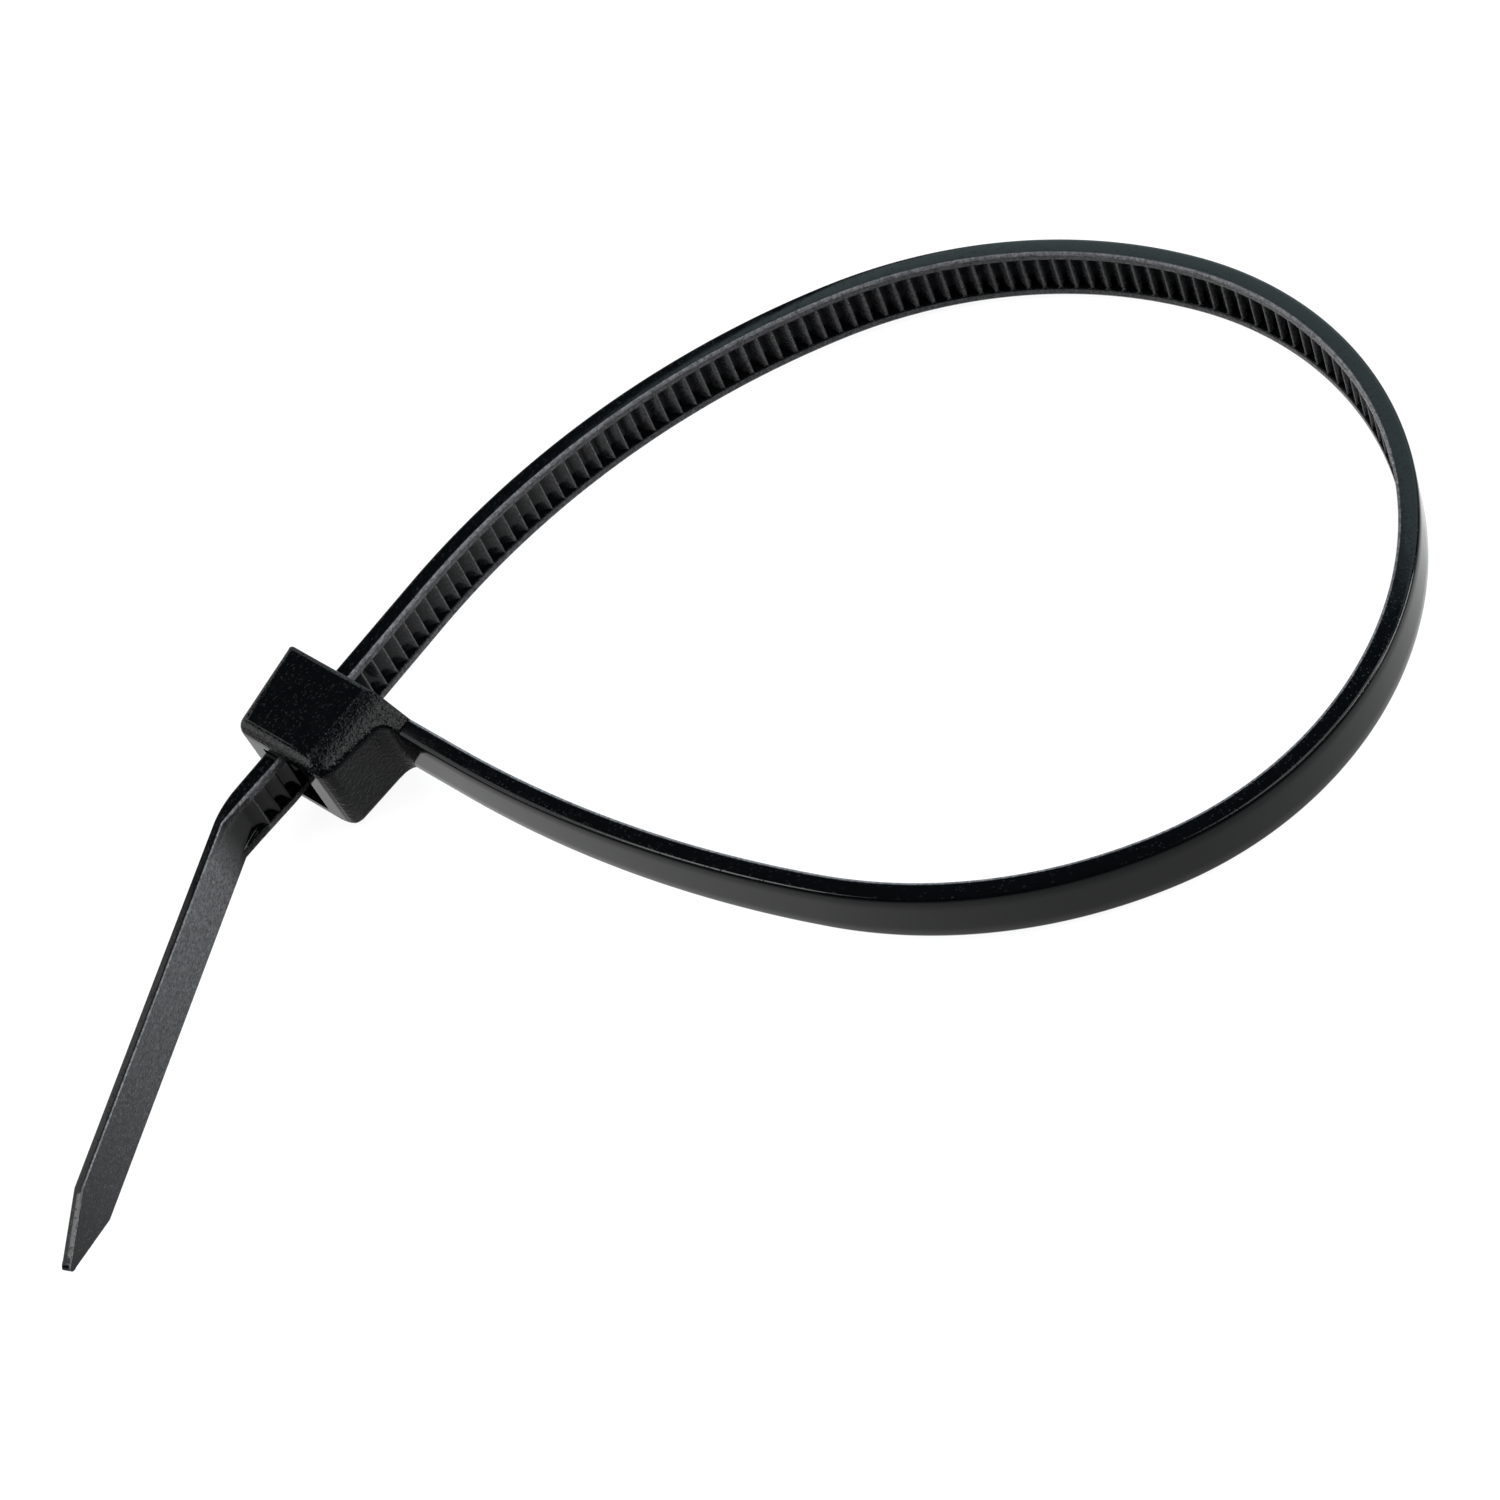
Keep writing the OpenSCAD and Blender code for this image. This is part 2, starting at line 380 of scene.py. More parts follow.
class Rest:
    """How the tie lies: the head flat on its side, the strap leaning until the loop touches."""

    def __init__(self, sizes: TieSizes, line: Line) -> None:
        """Works out the lean from the reach of the loop."""
        self.sizes = sizes
        nose = line.at(line.nose_start)
        radius = next(s.radius for s in line.stretches if s.start == nose)
        centre = nose.beside(radius)
        axis = math.radians(LOOP_AXIS)
        away = centre[0] * math.cos(axis) + (centre[1] - sizes.slot_middle) * math.sin(axis)
        reach = away + radius + sizes.half
        high, wide = sizes.head_width / 2, sizes.strap_width / 2
        self.lean = math.asin(high / math.hypot(reach, wide)) - math.atan2(wide, reach)

    def matrix(self, leaning: bool) -> Matrix:
        """The step from the drawing, in millimetres, to the row frame, in metres.

        Args:
            leaning: True for the strap, False for the head.

        Returns:
            The 4 by 4 matrix.
        """
        up = Matrix.Translation((0.0, 0.0, self.sizes.head_width / 2))
        lean = Matrix.Rotation(self.lean if leaning else 0.0, 4, "Y")
        turn = Matrix.Rotation(math.radians(-LOOP_AXIS), 4, "Z")
        down = Matrix.Translation((0.0, -self.sizes.slot_middle, 0.0))
        return Matrix.Scale(MM, 4) @ up @ lean @ turn @ down


class Surface(Enum):
    """How a face of the mould was finished; the value is the share of grain."""

    POLISHED = 0.0
    FINE = 0.35
    SATIN = 0.5
    GRAINED = 1.0


@dataclass(frozen=True)
class MouldedNylon:
    """Black nylon as it leaves the mould, grained after the points' attributes, and greyed after
    them by painted sheen and highlights and by the tail's satin tone.
    """

    name: str = "moulded_nylon"
    colour: Colour = (0.0008, 0.001, 0.0012, 1.0)
    # Grey of the painted sheen and highlights, and of the tail's satin tone.
    satin_and_sheen: Colour = (0.088, 0.088, 0.094, 1.0)
    speck_low: float = 0.2
    ior: float = 1.5
    specular: float = 0.08
    gloss_rough: float = 0.09
    grain_rough: float = 0.11
    mottle_per_mm: float = 0.9
    mottle_detail: float = 4.0
    mottle_span: Point = (0.3, 0.7)
    mottle_rough: Point = (-0.04, 0.05)
    gloss_relief: float = 0.06
    dots_per_mm: float = 8.5
    dot_share: float = 0.4
    dot_height: float = 0.034
    dot_slope: Point = (0.5, 0.1)
    waves_per_mm: float = 6.0
    wave_detail: float = 2.0
    wave_share: float = 1.6

    def build(self) -> bpy.types.Material:
        """Makes the node tree.

        Returns:
            The material.
        """
        material = bpy.data.materials.new(self.name)
        material.use_nodes = True
        graph = Graph(material.node_tree)
        where = graph.add("ShaderNodeTexCoord", {}).outputs["Object"]
        mapping = graph.add("ShaderNodeMapping", {"Vector": where, "Scale": (1 / MM,) * 3})
        place = mapping.outputs["Vector"]
        grain = graph.attribute("grain")
        dots = graph.add("ShaderNodeTexVoronoi", {"Vector": place, "Scale": self.dots_per_mm})
        shader = graph.nodes["Principled BSDF"]
        shader.inputs["IOR"].default_value = self.ior
        shader.inputs["Specular IOR Level"].default_value = self.specular
        graph.feed(shader.inputs["Base Color"], self.tone(graph, dots))
        graph.feed(shader.inputs["Roughness"], self.roughness(graph, place, grain))
        graph.feed(shader.inputs["Normal"], self.relief(graph, place, grain, dots))
        return material

    def tone(self, graph: Graph, dots: bpy.types.Node) -> bpy.types.NodeSocket:
        """The colour: black, and greyer by specks where the mask paints sheen and highlights, and
        on the satin tail.

        Args:
            graph: The material's nodes.
            dots: The specks.

        Returns:
            The output with the colour.
        """
        speck = graph.scaled(dots.outputs["Color"], (0.0, 1.0), (self.speck_low, 1.0))
        mix = graph.add("ShaderNodeMix", {})
        mix.data_type = "RGBA"
        base, hazy = (socket for socket in mix.inputs if socket.type == "RGBA")
        base.default_value, hazy.default_value = self.colour, self.satin_and_sheen
        # Mixes in the grey where the mask paints sheen and highlights on, and on the satin tail.
        graph.feed(mix.inputs["Factor"], graph.combine("MULTIPLY", graph.attribute("satin_and_sheen"), speck))
        return next(socket for socket in mix.outputs if socket.type == "RGBA")

    def roughness(
        self, graph: Graph, place: bpy.types.NodeSocket, grain: bpy.types.NodeSocket
    ) -> bpy.types.NodeSocket:
        """The roughness: more where the mould was grained, with a slow mottle over all.

        Args:
            graph: The material's nodes.
            place: The place on the tie, in millimetres.
            grain: The share of grain.

        Returns:
            The output with the roughness.
        """
        noise = {"Vector": place, "Scale": self.mottle_per_mm, "Detail": self.mottle_detail}
        mottle = graph.add("ShaderNodeTexNoise", noise).outputs["Fac"]
        even = graph.scaled(grain, (0.0, 1.0), (self.gloss_rough, self.grain_rough))
        return graph.combine("ADD", even, graph.scaled(mottle, self.mottle_span, self.mottle_rough))

    def relief(
        self,
        graph: Graph,
        place: bpy.types.NodeSocket,
        grain: bpy.types.NodeSocket,
        dots: bpy.types.Node,
    ) -> bpy.types.NodeSocket:
        """The fine relief: a dome on some of the dots, and waves where the grain is coarse.

        Args:
            graph: The material's nodes.
            place: The place on the tie, in millimetres.
            grain: The share of grain.
            dots: The dots.

        Returns:
            The output with the normal.
        """
        domes = graph.scaled(dots.outputs["Distance"], self.dot_slope, smooth=True)
        picked = graph.scaled(dots.outputs["Color"], (1.0 - self.dot_share, 1.0))
        noise = {"Vector": place, "Scale": self.waves_per_mm, "Detail": self.wave_detail}
        waves = graph.add("ShaderNodeTexNoise", noise).outputs["Fac"]
        coarse = graph.scaled(grain, (Surface.SATIN.value, 1.0), (0.0, self.wave_share))
        height = graph.combine("MULTIPLY", domes, picked)
        bump = {
            "Strength": graph.scaled(grain, (0.0, 1.0), (self.gloss_relief, 1.0)),
            "Distance": self.dot_height * MM,
            "Height": graph.combine("MULTIPLY_ADD", waves, coarse, height),
        }
        return graph.add("ShaderNodeBump", bump).outputs["Normal"]


class Piece:
    """A finished mesh of the tie, which rides on the body and stands for the node."""

    def __init__(self, name: str, material: bpy.types.Material) -> None:
        """Keeps the name and the material of the piece."""
        self.name = name
        self.material = material
        self.mesh = bmesh.new()

    def finish(self, place: Matrix) -> bpy.types.Object:
        """Args:
            place: The step from the drawing to the row frame.

        Returns:
            The Blender object.
        """
        self.mesh.transform(place)
        bmesh.ops.recalc_face_normals(self.mesh, faces=self.mesh.faces[:])
        obj = mesh_object(self.name, self.mesh)
        data = obj.data
        for polygon in data.polygons:
            polygon.use_smooth = True
        data.set_sharp_from_angle(angle=math.radians(SHARP_ANGLE))
        data.materials.append(self.material)
        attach(obj, BODY)
        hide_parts(NODE)
        log.info("%s: %d faces", self.name, len(data.polygons))
        return obj


@dataclass
class Strap:
    """The ribbed strap and its tail, swept along the middle line as one closed skin."""

    sizes: TieSizes
    line: Line
    material: bpy.types.Material
    outer_round: float = 0.24
    outer_limit: float = 0.8
    inner_round: float = 0.12
    inner_limit: float = 0.6
    rail_round: float = 0.07
    root_round: float = 0.05
    wall_draft: float = 0.02
    edge_guard: float = 1.5
    rail_guard: float = 1.6
    fine_above: float = 0.3
    fine_across: float = 0.5
    # Shares of grey in the colour: the tail's satin tone with a painted light gradient towards the
    # tip, painted sheen on rails and teeth, and a painted highlight on the edge by the toothed
    # face.
    tail_satin_and_sheen: float = 0.6
    painted_rail_sheen: float = 0.38
    painted_tooth_sheen_fall: float = 1.3
    painted_edge_highlight: float = 1.0
    overlap: float = 0.12
    arc_steps: int = 3
    run_steps: int = 10
    tooth_profile: tuple[Point, ...] = (
        (0.0, 0.0),
        (0.03, 0.12),
        (0.11, 0.86),
        (0.145, 0.97),
        (0.19, 1.0),
        (0.235, 1.0),
        (0.27, 0.96),
        (0.32, 0.88),
        (0.42, 0.69),
        (0.53, 0.5),
        (0.65, 0.32),
        (0.78, 0.16),
        (0.92, 0.03),
    )

    def first_tooth(self) -> int:
        """Number of the first tooth, counted from the slot along the strap."""
        return math.ceil((self.sizes.plain_run - self.line.slot) / self.sizes.pitch)

    def last_tooth(self) -> int:
        """Number of the last tooth, on the tail side of the head."""
        return math.ceil(-self.sizes.exit_y / self.sizes.pitch) + self.sizes.teeth_out - 1

    def stations(self) -> Iterator[tuple[float, float]]:
        """Every ring along the strap.

        Yields:
            The distance from the fixed end, and the height of the channel's floor over the
            middle line.
        """
        sizes, line, steps = self.sizes, self.line, self.run_steps
        start = sizes.neck_x - self.overlap
        first = line.slot + self.first_tooth() * sizes.pitch
        last = line.slot + (self.last_tooth() + 1) * sizes.pitch
        fill = sizes.half
        count = math.ceil((first - start) / (sizes.pitch / 2))
        for i in range(count):
            yield start + (first - start) * i / count, fill
        rise = sizes.crest_side - sizes.root_side
        for k in range(self.first_tooth(), self.last_tooth() + 1):
            for share, height in self.tooth_profile:
                low = fill if k == self.first_tooth() and share == 0.0 else sizes.root_side
                yield line.slot + (k + share) * sizes.pitch, low + rise * height * (low < fill)
        ramp = line.tail_start - sizes.pitch
        for i in range(steps):
            yield last + (ramp - last) * i / steps, sizes.root_side
        for i in range(steps + 1):
            share = i / steps
            rise = (sizes.tail_thick - sizes.floor_thick) * share * share * (3 - 2 * share)
            yield ramp + (line.tail_start - ramp) * share, sizes.root_side + rise
        flat = sizes.tail_thick - sizes.half
        point = line.length - sizes.point
        for i in range(1, steps + 1):
            yield line.tail_start + (point - line.tail_start) * i / steps, flat
        blunt = line.length - sizes.tip_width / 2
        for i in range(1, steps + 1):
            yield point + (blunt - point) * i / steps, flat
        for i in range(1, steps):
            yield blunt + sizes.tip_width / 2 * math.sin(math.pi / 2 * i / steps), flat

    def half_width(self, along: float) -> float:
        """Half the strap's width, which runs to a blunt point at the end of the tail."""
        sizes, left = self.sizes, self.line.length - along
        full, tip = sizes.strap_width / 2, sizes.tip_width / 2
        if left >= sizes.point:
            return full
        if left >= tip:
            return tip + (full - tip) * (left - tip) / (sizes.point - tip)
        return tip * math.sqrt(max(0.0, 1 - (1 - left / tip) ** 2))

    def rail_side(self, along: float) -> float:
        """Height of the rails over the middle line; they run straight into the tail's face."""
        sizes, line = self.sizes, self.line
        fade = line.kink_start - sizes.fade
        if along <= fade:
            return sizes.half
        low = sizes.tail_thick - sizes.half
        if along >= line.tail_start:
            return low
        ax, ay = line.at(fade).beside(sizes.half)
        bx, by = line.at(line.tail_start).beside(low)
        here = line.at(along)
        nx, ny = -math.sin(here.heading), math.cos(here.heading)
        dx, dy = bx - ax, by - ay
        return ((ax - here.x) * dy - (ay - here.y) * dx) / (nx * dy - ny * dx)

    def ring(self, along: float, floor: float) -> Ring:
        """The section across the strap, as height over the middle line and place across the width.

        Args:
            along: Distance from the fixed end.
            floor: Height of the channel's floor there.

        Returns:
            The points of the closed section, in order.
        """
        sizes = self.sizes
        wide = self.half_width(along)
        scale = wide / (sizes.strap_width / 2)
        channel = sizes.channel * scale
        outer, rail = -sizes.half, self.rail_side(along)
        floor = min(floor, rail)
        thick = rail - outer
        around = min(self.outer_round * thick / sizes.strap_thick, self.outer_limit * wide)
        inside = self.inner_reach(along)
        guard = self.edge_guard * inside
        drop = rail - floor
        rail_r, root_r = min(self.rail_round, drop / 2), min(self.root_round, drop / 2)
        half: Ring = [(outer, wide * share) for share in (0.0, 0.5)]
        half += [(outer, wide - around)]
        half += self.arc(outer + around, wide - around, -around, around)
        half += [(rail - guard, wide)]
        half += self.arc(rail - inside, wide - inside, inside, inside, rising=True)
        half += [(rail, wide - guard), (rail, channel + self.rail_round * self.rail_guard * scale)]
        run = self.rail_round * scale
        half += self.arc(rail - rail_r, channel + run, rail_r, -run)
        run = self.root_round * scale
        near = channel - self.wall_draft * scale
        half += self.arc(floor + root_r, near - run, -root_r, run, rising=True)
        half += [(floor, channel * share) for share in (0.5, 0.0)]
        return half + [(side, -across) for side, across in reversed(half[1:-1])]

    def arc(
        self, side: float, across: float, rise: float, run: float, rising: bool = False
    ) -> Ring:
        """Points of a rounded edge about a centre.

        Args:
            side: Height of the centre.
            across: Place of the centre across the width.
            rise: Radius in height, negative towards the outer face.
            run: Radius across the width, negative towards the middle.
            rising: True where the edge starts beside its centre, not above or below it.

        Returns:
            The points, without the first one if the edge isn't rising.
        """
        out: Ring = []
        for i in range(0 if rising else 1, self.arc_steps + 1):
            angle = math.pi / 2 * i / self.arc_steps
            up, aside = math.cos(angle), math.sin(angle)
            if rising:
                up, aside = aside, up
            out.append((side + rise * up, across + run * aside))
        return out

    def build(self, rest: Rest) -> bpy.types.Object:
        """Sweeps the section along the line and closes both ends.

        Args:
            rest: Where the tie lies.

        Returns:
            The strap.
        """
        piece = Piece("strap", self.material)
        mesh = piece.mesh
        grain = mesh.verts.layers.float.new("grain")
        # Mask of the painted sheen and highlights, and of the tail's satin tone.
        satin_and_sheen = mesh.verts.layers.float.new("satin_and_sheen")
        rings: list[list[bmesh.types.BMVert]] = []
        for along, floor in self.stations():
            state = self.line.at(along)
            ring = []
            for side, across in self.ring(along, floor):
                x, y = state.beside(side)
                vert = mesh.verts.new((x, y, across))
                vert[grain] = self.grain_at(along, side, across)
                vert[satin_and_sheen] = self.satin_and_sheen_at(along, side, across)
                ring.append(vert)
            rings.append(ring)
        for low, high in zip(rings, rings[1:]):
            join_rings(mesh, low, high)
        mesh.faces.new(rings[0])
        mesh.faces.new(rings[-1])
        return piece.finish(rest.matrix(leaning=True))

    def grain_at(self, along: float, side: float, across: float) -> float:
        """How grained the mould was at a point of the section."""
        above = side + self.sizes.half > self.fine_above * self.outer_round
        if above and abs(across) > self.half_width(along) - self.fine_across * self.inner_round:
            return Surface.FINE.value
        if abs(across) > self.sizes.channel + TINY and side > 0:
            return Surface.GRAINED.value
        if along > self.line.tail_start:
            return Surface.SATIN.value
        return Surface.POLISHED.value

    def satin_and_sheen_at(self, along: float, side: float, across: float) -> float:
        """How much grey is painted in: most as a painted highlight on the rounded edge by the
        toothed face, less as painted sheen on rails and teeth, and on the tail its satin grey with
        a painted light gradient fading to the tip.

        Args:
            along: Distance from the fixed end.
            side: Height over the middle line.
            across: Place across the width.

        Returns:
            The share of painted sheen and highlight, or of the tail's satin grey.
        """
        sizes, line = self.sizes, self.line
        rail, wide = self.rail_side(along), self.half_width(along)
        low = self.inner_reach(along)
        # Painted highlight along the rounded edge by the toothed face.
        if side > rail - low - TINY and abs(across) > wide - low - TINY:
            return self.painted_edge_highlight
        # Tail: its satin grey, fading towards the tip as a painted light gradient.
        if along > line.tail_start and abs(across) < wide - self.edge_guard * low + TINY:
            return self.tail_satin_and_sheen * (line.length - along) / (line.length - line.tail_start)
        # Painted sheen on the rails.
        if side > rail - TINY and sizes.plain_run < along < line.kink_start:
            return self.painted_rail_sheen
        # Painted sheen on the teeth, lighter towards their crests and black at their roots.
        floor = abs(across) < sizes.channel - self.wall_draft - self.root_round + TINY
        if side > sizes.root_side and floor and sizes.plain_run < along < line.slot:
            height = (side - sizes.root_side) / (sizes.crest_side - sizes.root_side)
            return self.painted_rail_sheen * min(1.0, height) ** self.painted_tooth_sheen_fall
        return 0.0

    def inner_reach(self, along: float) -> float:
        """Radius of the edge between the strap's side and its toothed face."""
        share = (self.rail_side(along) + self.sizes.half) / self.sizes.strap_thick
        return min(self.inner_round * share, self.inner_limit * self.half_width(along))


@dataclass
class Head:
    """The box head with its slot, the neck that joins it to the strap, and the pawl inside."""

    sizes: TieSizes
    material: bpy.types.Material
    edge: float = 0.65
    entry_edge: float = 0.28
    crease: float = 0.65
    side_edge: float = 0.3
    blend_edge: float = 0.2
    neck_edge: float = 0.12
    rim: float = 0.07
    rim_steps: int = 2
    slot_corner: float = 0.14
    corner_steps: int = 4
    slot_past: float = 1.0
    along_share: float = 0.9
    neck_sink: float = 0.006
    grain_reach: float = 0.55
    skin: float = 0.01
    flat_area: float = 0.8
    flat_inset: float = 0.03
    steps: int = 6

    def blend(self) -> Ring:
        """The hollow corner that leads from the head's strap side into the strap's outer face.

        Returns:
            Points of the corner seen from above, from the head to the strap.
        """
        s = self.sizes
        lean = math.atan2(s.front_lean, s.head_rise)
        back = s.neck_blend * math.tan((math.pi / 2 - lean) / 2)
        x, y = s.near_x + s.front_lean + back, -s.half - s.neck_blend
        out: Ring = []
        for i in range(self.steps + 1):
            turn = math.pi - lean - (math.pi / 2 - lean) * i / self.steps
            out.append((x + s.neck_blend * math.cos(turn), y + s.neck_blend * math.sin(turn)))
        return out

    def corners(self) -> dict[str, Point]:
        """The block's corners seen from above, each under a name.

        Returns:
            The corners: the faces from the far end, then the hollow corner and the neck.
        """
        s, sink = self.sizes, self.neck_sink
        far = -s.half - s.strap_gap - s.end_wall
        out = {
            "far_entry": (far - s.end_lean, s.half),
            "far_exit": (far, s.exit_y),
            "taper_exit": (s.taper_x, s.exit_y),
            "near_exit": (s.near_x, s.exit_y),
        }
        for i, point in enumerate(self.blend()):
            out[f"blend_{i}"] = point
        out["neck_outer"] = (s.neck_x, -s.half + sink)
        out["neck_inner"] = (s.neck_x, s.half - sink)
        out["taper_entry"] = (s.taper_x, s.half)
        return out

    def round_of(self, ends: frozenset[str]) -> float:
        """Radius of the edge between two named corners; one name is an edge across the head."""
        if any(name.startswith("blend") for name in ends):
            if len(ends) == 1:
                return 0.0
            return self.side_edge if "near_exit" in ends else self.blend_edge
        if any(name.startswith("neck") for name in ends):
            return self.neck_edge if "taper_entry" in ends else 0.0
        if ends == {"taper_entry", "taper_exit"}:
            return self.crease
        if len(ends) == 1 and min(ends).startswith("taper"):
            return 0.0
        return self.entry_edge if all(name.endswith("entry") for name in ends) else self.edge

    def block(self) -> bpy.types.Object:
        """The head and its neck as a solid block with rounded edges.

        Returns:
            A scratch object in millimetres, in the drawing's frame.
        """
        corners = self.corners()
        mesh = bmesh.new()
        names: dict[bmesh.types.BMVert, str] = {}
        above: dict[str, bmesh.types.BMVert] = {}
        below: dict[str, bmesh.types.BMVert] = {}
        for name, (x, y) in corners.items():
            half = self.sizes.head_half(x)
            half -= self.neck_sink if name.startswith("neck") else 0.0
            for side, z in ((above, half), (below, -half)):
                side[name] = mesh.verts.new((x, y, z))
                names[side[name]] = name
        chain = [n for n in corners if not n.startswith(("far", "taper"))]
        box = ["far_entry", "far_exit", "taper_exit", "taper_entry"]
        wedge = ["taper_entry", "taper_exit", *chain]
        for side in (above, below):
            mesh.faces.new([side[n] for n in box])
            mesh.faces.new([side[n] for n in wedge])
        strips = [
            ["far_entry", "taper_entry", "neck_inner"],
            ["far_exit", "taper_exit", "near_exit"],
            ["far_entry", "far_exit"],
            *([a, b] for a, b in zip(chain, chain[1:])),
        ]
        for strip in strips:
            mesh.faces.new([above[n] for n in strip] + [below[n] for n in reversed(strip)])
        bmesh.ops.recalc_face_normals(mesh, faces=mesh.faces[:])
        weight = mesh.edges.layers.float.new("bevel_weight_edge")
        for item in mesh.edges:
            item[weight] = self.round_of(frozenset(names[v] for v in item.verts)) / self.crease
        obj = mesh_object("head_block", mesh)
        bevel = obj.modifiers.new("edges", "BEVEL")
        bevel.limit_method = "WEIGHT"
        bevel.width = self.crease
        bevel.segments = self.steps
        bevel.use_clamp_overlap = False
        return obj

    def cutter(self) -> bpy.types.Object:
        """The way through the slot and the room behind the pawl.

        Returns:
            A scratch object in millimetres, in the drawing's frame.
        """
        s = self.sizes
        back, front = -s.half - s.strap_gap, s.half + s.strap_gap
        room, bridge = front + s.pawl_room, -(s.half + s.bridge)
        below, above = s.exit_y - self.slot_past, s.half + self.slot_past
        outline = [
            (back, below),
            (room, below),
            (room, bridge),
            (front, bridge),
            (front, above),
            (back, above),
        ]
        mesh = bmesh.new()
        add_prism(mesh, outline, s.strap_width / 2 + s.side_gap)
        bmesh.ops.recalc_face_normals(mesh, faces=mesh.faces[:])
        along = []
        for item in mesh.edges:
            run = (item.verts[0].co - item.verts[1].co).normalized()
            if abs(run.y) > self.along_share:
                along.append(item)
        bmesh.ops.bevel(
            mesh,
            geom=along,
            offset=self.slot_corner,
            segments=self.corner_steps,
            profile=0.5,
            affect="EDGES",
        )
        return mesh_object("head_cutter", mesh)

    def build(self, rest: Rest) -> bpy.types.Object:
        """Cuts the slot out of the block and softens its rims.

        Args:
            rest: Where the tie lies.

        Returns:
            The head.
        """
        block, cutter = self.block(), self.cutter()
        cut = block.modifiers.new("slot", "BOOLEAN")
        cut.operation = "DIFFERENCE"
        cut.solver = "EXACT"
        cut.object = cutter
        rims = block.modifiers.new("rims", "BEVEL")
        rims.limit_method = "ANGLE"
        rims.angle_limit = math.radians(SHARP_ANGLE)
        rims.width = self.rim
        rims.segments = self.rim_steps
        piece = Piece("head", self.material)
        piece.mesh.from_object(block, bpy.context.evaluated_depsgraph_get())
        for scratch in (block, cutter):
            data = scratch.data
            bpy.data.objects.remove(scratch)
            bpy.data.meshes.remove(data)
        flats = [face for face in piece.mesh.faces if face.calc_area() > self.flat_area]
        bmesh.ops.inset_individual(piece.mesh, faces=flats, thickness=self.flat_inset)
        grain = piece.mesh.verts.layers.float.new("grain")
        for vert in piece.mesh.verts:
            vert[grain] = self.grain_at(vert)
        return piece.finish(rest.matrix(leaning=False))

    def grain_at(self, vert: bmesh.types.BMVert) -> float:
        """How grained the mould was at a point: fine on the side faces, full at their edges."""
        inside = self.sizes.head_half(vert.co.x) - abs(vert.co.z)
        if inside > self.grain_reach:
            return Surface.POLISHED.value
        flat = inside < self.skin and vert.co.x < self.sizes.taper_x - self.crease / 2
        return Surface.FINE.value if flat else Surface.GRAINED.value

    def pawl(self, rest: Rest, strap: Strap) -> bpy.types.Object:
        """The pawl, with the rack's own teeth, hanging from the bridge.

        Args:
            rest: Where the tie lies.
            strap: The strap whose teeth it takes.

        Returns:
            The pawl.
        """
        s = self.sizes
        bridge = -(s.half + s.bridge)
        back = s.crest_side + s.pawl_gap + s.pawl_thick
        first = math.ceil(-bridge / s.pitch)
        rise = s.crest_side - s.root_side
        outline = [(back - s.hinge, bridge + s.bridge / 2), (back - s.hinge, bridge - s.hinge / 2)]
        for k in range(first, first + s.pawl_teeth):
            for share, height in strap.tooth_profile:
                side = s.root_side + rise * height + s.pawl_gap
                outline.append((side, s.pawl_lag - (k + share) * s.pitch))
        last = first + s.pawl_teeth
        end = -(last + s.crest_share) * s.pitch
        outline += [
            (s.root_side + s.pawl_gap, s.pawl_lag - last * s.pitch),
            (s.crest_side + s.pawl_gap, end),
            (back, end),
            (back, bridge + s.bridge / 2),
        ]
        piece = Piece("pawl", self.material)
        piece.mesh.verts.layers.float.new("grain")
        add_prism(piece.mesh, outline, s.channel - s.pawl_side_gap)
        return piece.finish(rest.matrix(leaning=False))


@dataclass(frozen=True)
class Softbox:
    """One studio light that points at the middle of the loop, in degrees and metres."""

    name: str
    azimuth: float
    elevation: float
    distance: float
    width: float
    height: float
    level: float
    colour: tuple[float, float, float] = (1.0, 1.0, 1.0)

    def build(self, aim: Vector) -> bpy.types.Object:
        """Hangs the light.

        Args:
            aim: The point that the light faces, in metres.

        Returns:
            The light.
        """
        data = bpy.data.lights.new(self.name, "AREA")
        data.shape = "RECTANGLE"
        data.size, data.size_y = self.width, self.height
        data.energy = self.level * math.pi * self.width * self.height
        data.color = self.colour
        obj = bpy.data.objects.new(self.name, data)
        away = direction(self.azimuth, self.elevation)
        obj.location = aim + away * self.distance
        obj.rotation_euler = away.to_track_quat("Z", "Y").to_euler()
        bpy.context.scene.collection.objects.link(obj)
        return obj


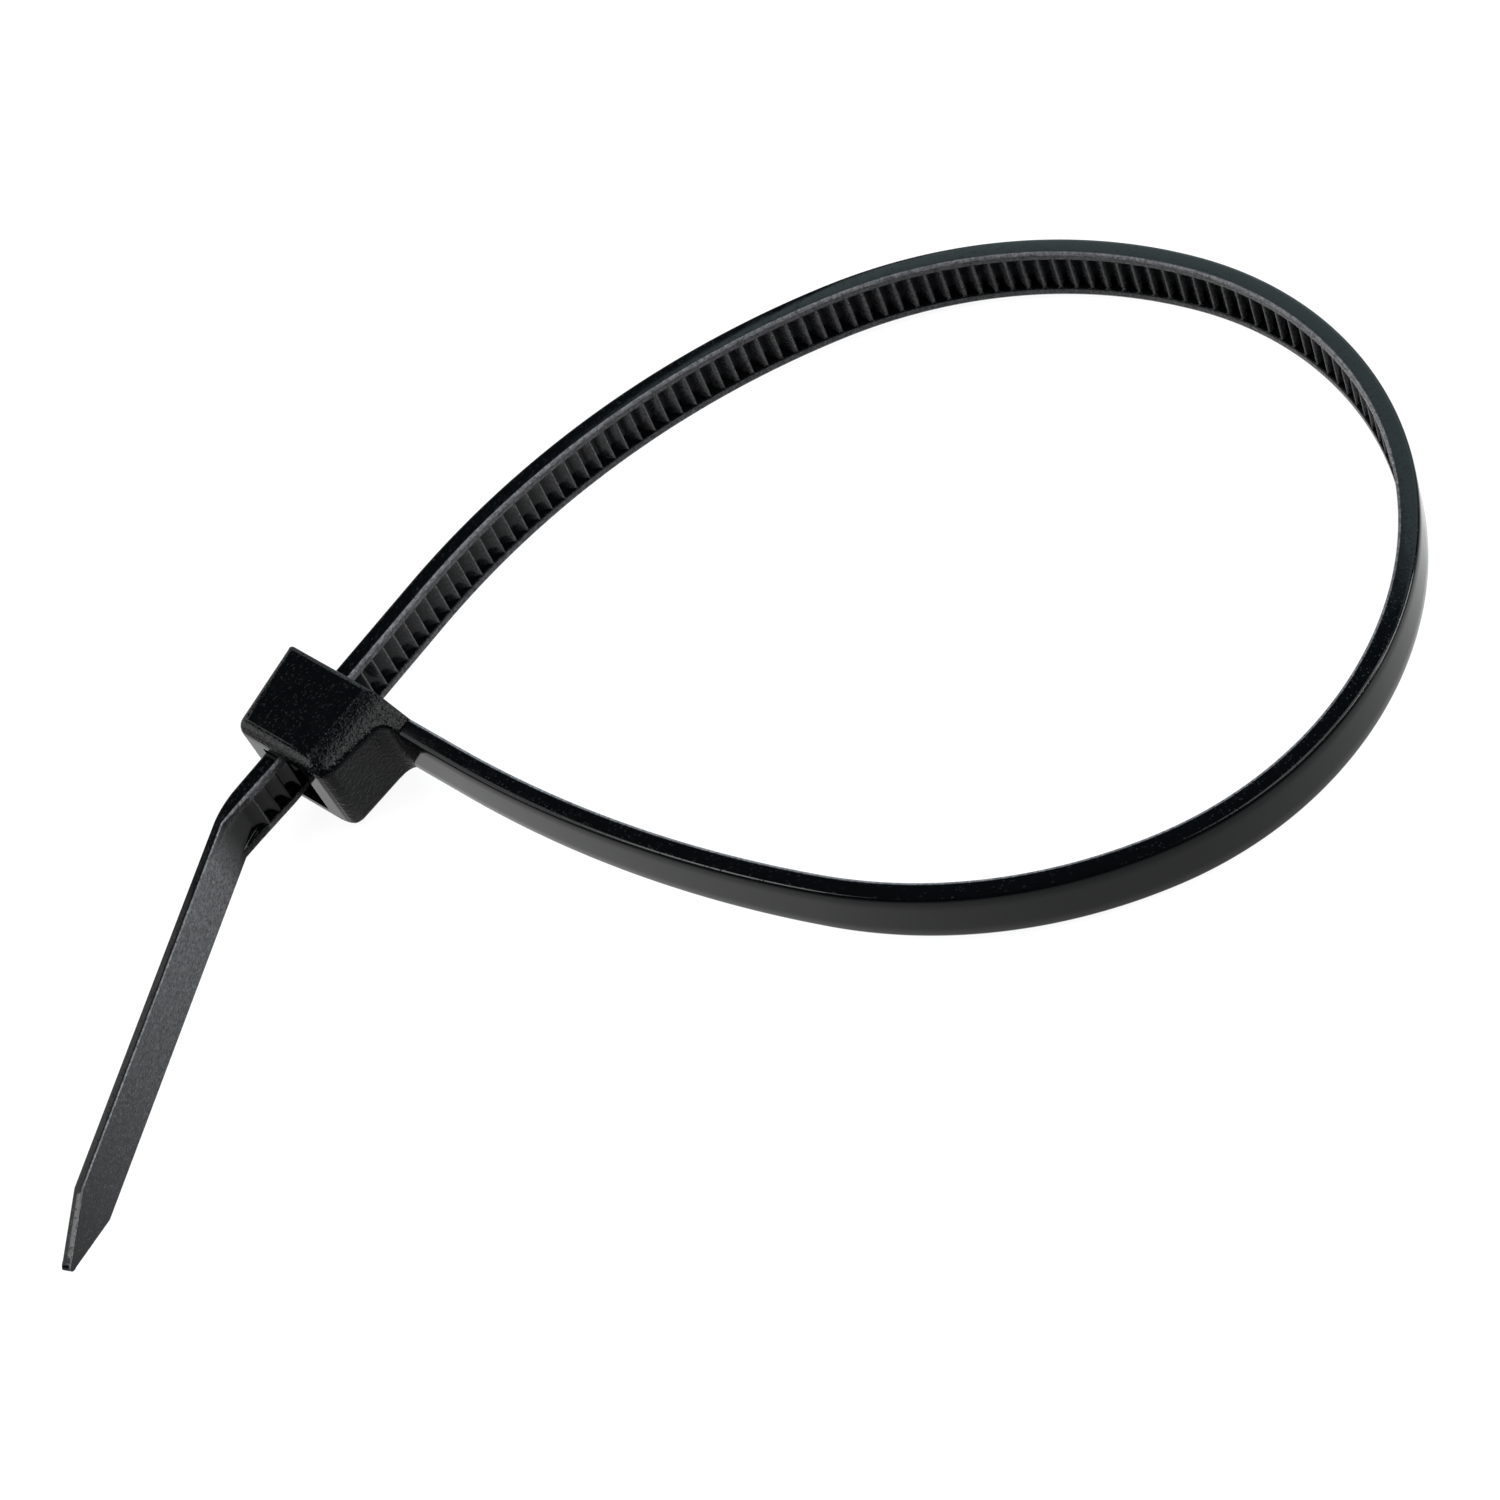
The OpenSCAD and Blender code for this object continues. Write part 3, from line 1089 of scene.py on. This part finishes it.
@dataclass(frozen=True)
class Studio:
    """A pale floor, a pale room and plain soft lights."""

    floor_colour: Colour = (0.93, 0.93, 0.93, 1.0)
    floor_rough: float = 0.9
    floor_span: float = 6.0
    paper_share: float = 0.92
    horizon: float = 0.3
    zenith: float = 0.0
    sky_span: Point = (0.3, 0.75)
    lights: tuple[Softbox, ...] = (
        Softbox("side", 169.0, 34.0, 0.9, 1.08, 0.9, 5.6),
        Softbox("rim", 115.0, 12.0, 0.9, 0.4, 0.3, 1.2),
        Softbox("key", 198.0, 54.0, 0.9, 0.24, 0.24, 20.0),
        Softbox("back", 60.0, 32.0, 1.0, 1.17, 0.93, 4.8, (0.74, 0.95, 1.0)),
        Softbox("front", 350.0, 62.0, 0.9, 0.5, 0.48, 8.5),
        Softbox("spark", 352.0, 38.0, 0.9, 0.22, 0.2, 28.0),
        Softbox("glint", 0.0, 13.0, 0.9, 0.36, 0.36, 26.0),
    )

    def floor(self) -> bpy.types.Object:
        """Lays the floor on which the tie lies.

        Returns:
            The floor.
        """
        mesh = bmesh.new()
        bmesh.ops.create_grid(mesh, x_segments=1, y_segments=1, size=self.floor_span / 2)
        obj = mesh_object("floor", mesh)
        obj.data.materials.append(self.paper())
        obj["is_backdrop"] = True
        return obj

    def paper(self) -> bpy.types.Material:
        """The floor's paper: plainly white to the camera and in reflections, and still shaded.

        Returns:
            The material.
        """
        material = bpy.data.materials.new("floor_paper")
        material.use_nodes = True
        graph = Graph(material.node_tree)
        shader = graph.nodes["Principled BSDF"]
        shader.inputs["Base Color"].default_value = self.floor_colour
        shader.inputs["Roughness"].default_value = self.floor_rough
        shader.inputs["Specular IOR Level"].default_value = 0.0
        sheet = graph.add("ShaderNodeEmission", {"Strength": 1.0}).outputs["Emission"]
        rays = graph.add("ShaderNodeLightPath", {}).outputs
        seen = graph.combine("MAXIMUM", rays["Is Camera Ray"], rays["Is Glossy Ray"])
        seen = graph.combine("MAXIMUM", seen, rays["Is Transmission Ray"])
        share = graph.combine("MULTIPLY", seen, self.paper_share)
        mix = graph.add("ShaderNodeMixShader", {"Fac": share, 1: shader.outputs["BSDF"], 2: sheet})
        graph.feed(graph.nodes["Material Output"].inputs["Surface"], mix.outputs["Shader"])
        return material

    def room(self) -> None:
        """Paints the world: pale at the horizon and darker overhead."""
        world = bpy.data.worlds.new("room")
        bpy.context.scene.world = world
        world.use_nodes = True
        graph = Graph(world.node_tree)
        where = graph.add("ShaderNodeTexCoord", {}).outputs["Generated"]
        up = graph.add("ShaderNodeSeparateXYZ", {"Vector": where}).outputs["Z"]
        level = graph.scaled(up, self.sky_span, (self.horizon, self.zenith), smooth=True)
        graph.feed(graph.nodes["Background"].inputs["Strength"], level)

    def build(self, aim: Vector) -> None:
        """Sets up the floor, the room and the lights.

        Args:
            aim: The point that the lights face, in metres.
        """
        self.floor()
        self.room()
        for light in self.lights:
            light.build(aim)


@dataclass(frozen=True)
class PhotoCamera:
    """The camera of the photograph, in millimetres and degrees, set against the drawn strap."""

    target: tuple[float, float, float] = (21.66, 8.67, 0.0)
    azimuth: float = -29.8
    elevation: float = 54.3
    roll: float = -26.22
    distance: float = 214.7
    lens: float = 100.8
    sensor: float = 36.0
    clip: float = 0.01

    def build(self, rest: Rest) -> bpy.types.Object:
        """Places the camera and makes it the scene's own.

        Args:
            rest: Where the tie lies.

        Returns:
            The camera.
        """
        turn, roll = math.radians(self.azimuth), math.radians(self.roll)
        back = direction(self.azimuth, self.elevation)
        right = Vector((-math.sin(turn), math.cos(turn), 0.0))
        up = back.cross(right)
        across = right * math.cos(roll) + up * math.sin(roll)
        upward = up * math.cos(roll) - right * math.sin(roll)
        place = Matrix((across, upward, back)).transposed().to_4x4()
        place.translation = Vector(self.target) + back * self.distance
        data = bpy.data.cameras.new("photo_camera")
        data.sensor_width = self.sensor
        data.lens = self.lens
        data.clip_start = self.clip
        obj = bpy.data.objects.new("photo_camera", data)
        bpy.context.scene.collection.objects.link(obj)
        where, turned, _ = (rest.matrix(leaning=True) @ place).decompose()
        obj.matrix_world = Matrix.LocRotScale(where, turned, Vector((1.0, 1.0, 1.0)))
        bpy.context.scene.camera = obj
        return obj


def main() -> None:
    """Builds the tie, the studio and the camera."""
    logging.basicConfig(level=logging.INFO, format="%(message)s")
    cad_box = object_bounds()
    scene = bpy.context.scene
    scene.view_settings.view_transform = "Standard"
    sizes = TieSizes()
    line = Line(LoopPath())
    rest = Rest(sizes, line)
    nylon = MouldedNylon().build()
    strap = Strap(sizes, line, nylon)
    strap.build(rest)
    head = Head(sizes, nylon)
    head.build(rest)
    head.pawl(rest, strap)
    low, high = cad_box
    middle = (Vector(low) + Vector(high)) / 2
    Studio().build(middle)
    PhotoCamera().build(rest)


if __name__ == "__main__":
    main()
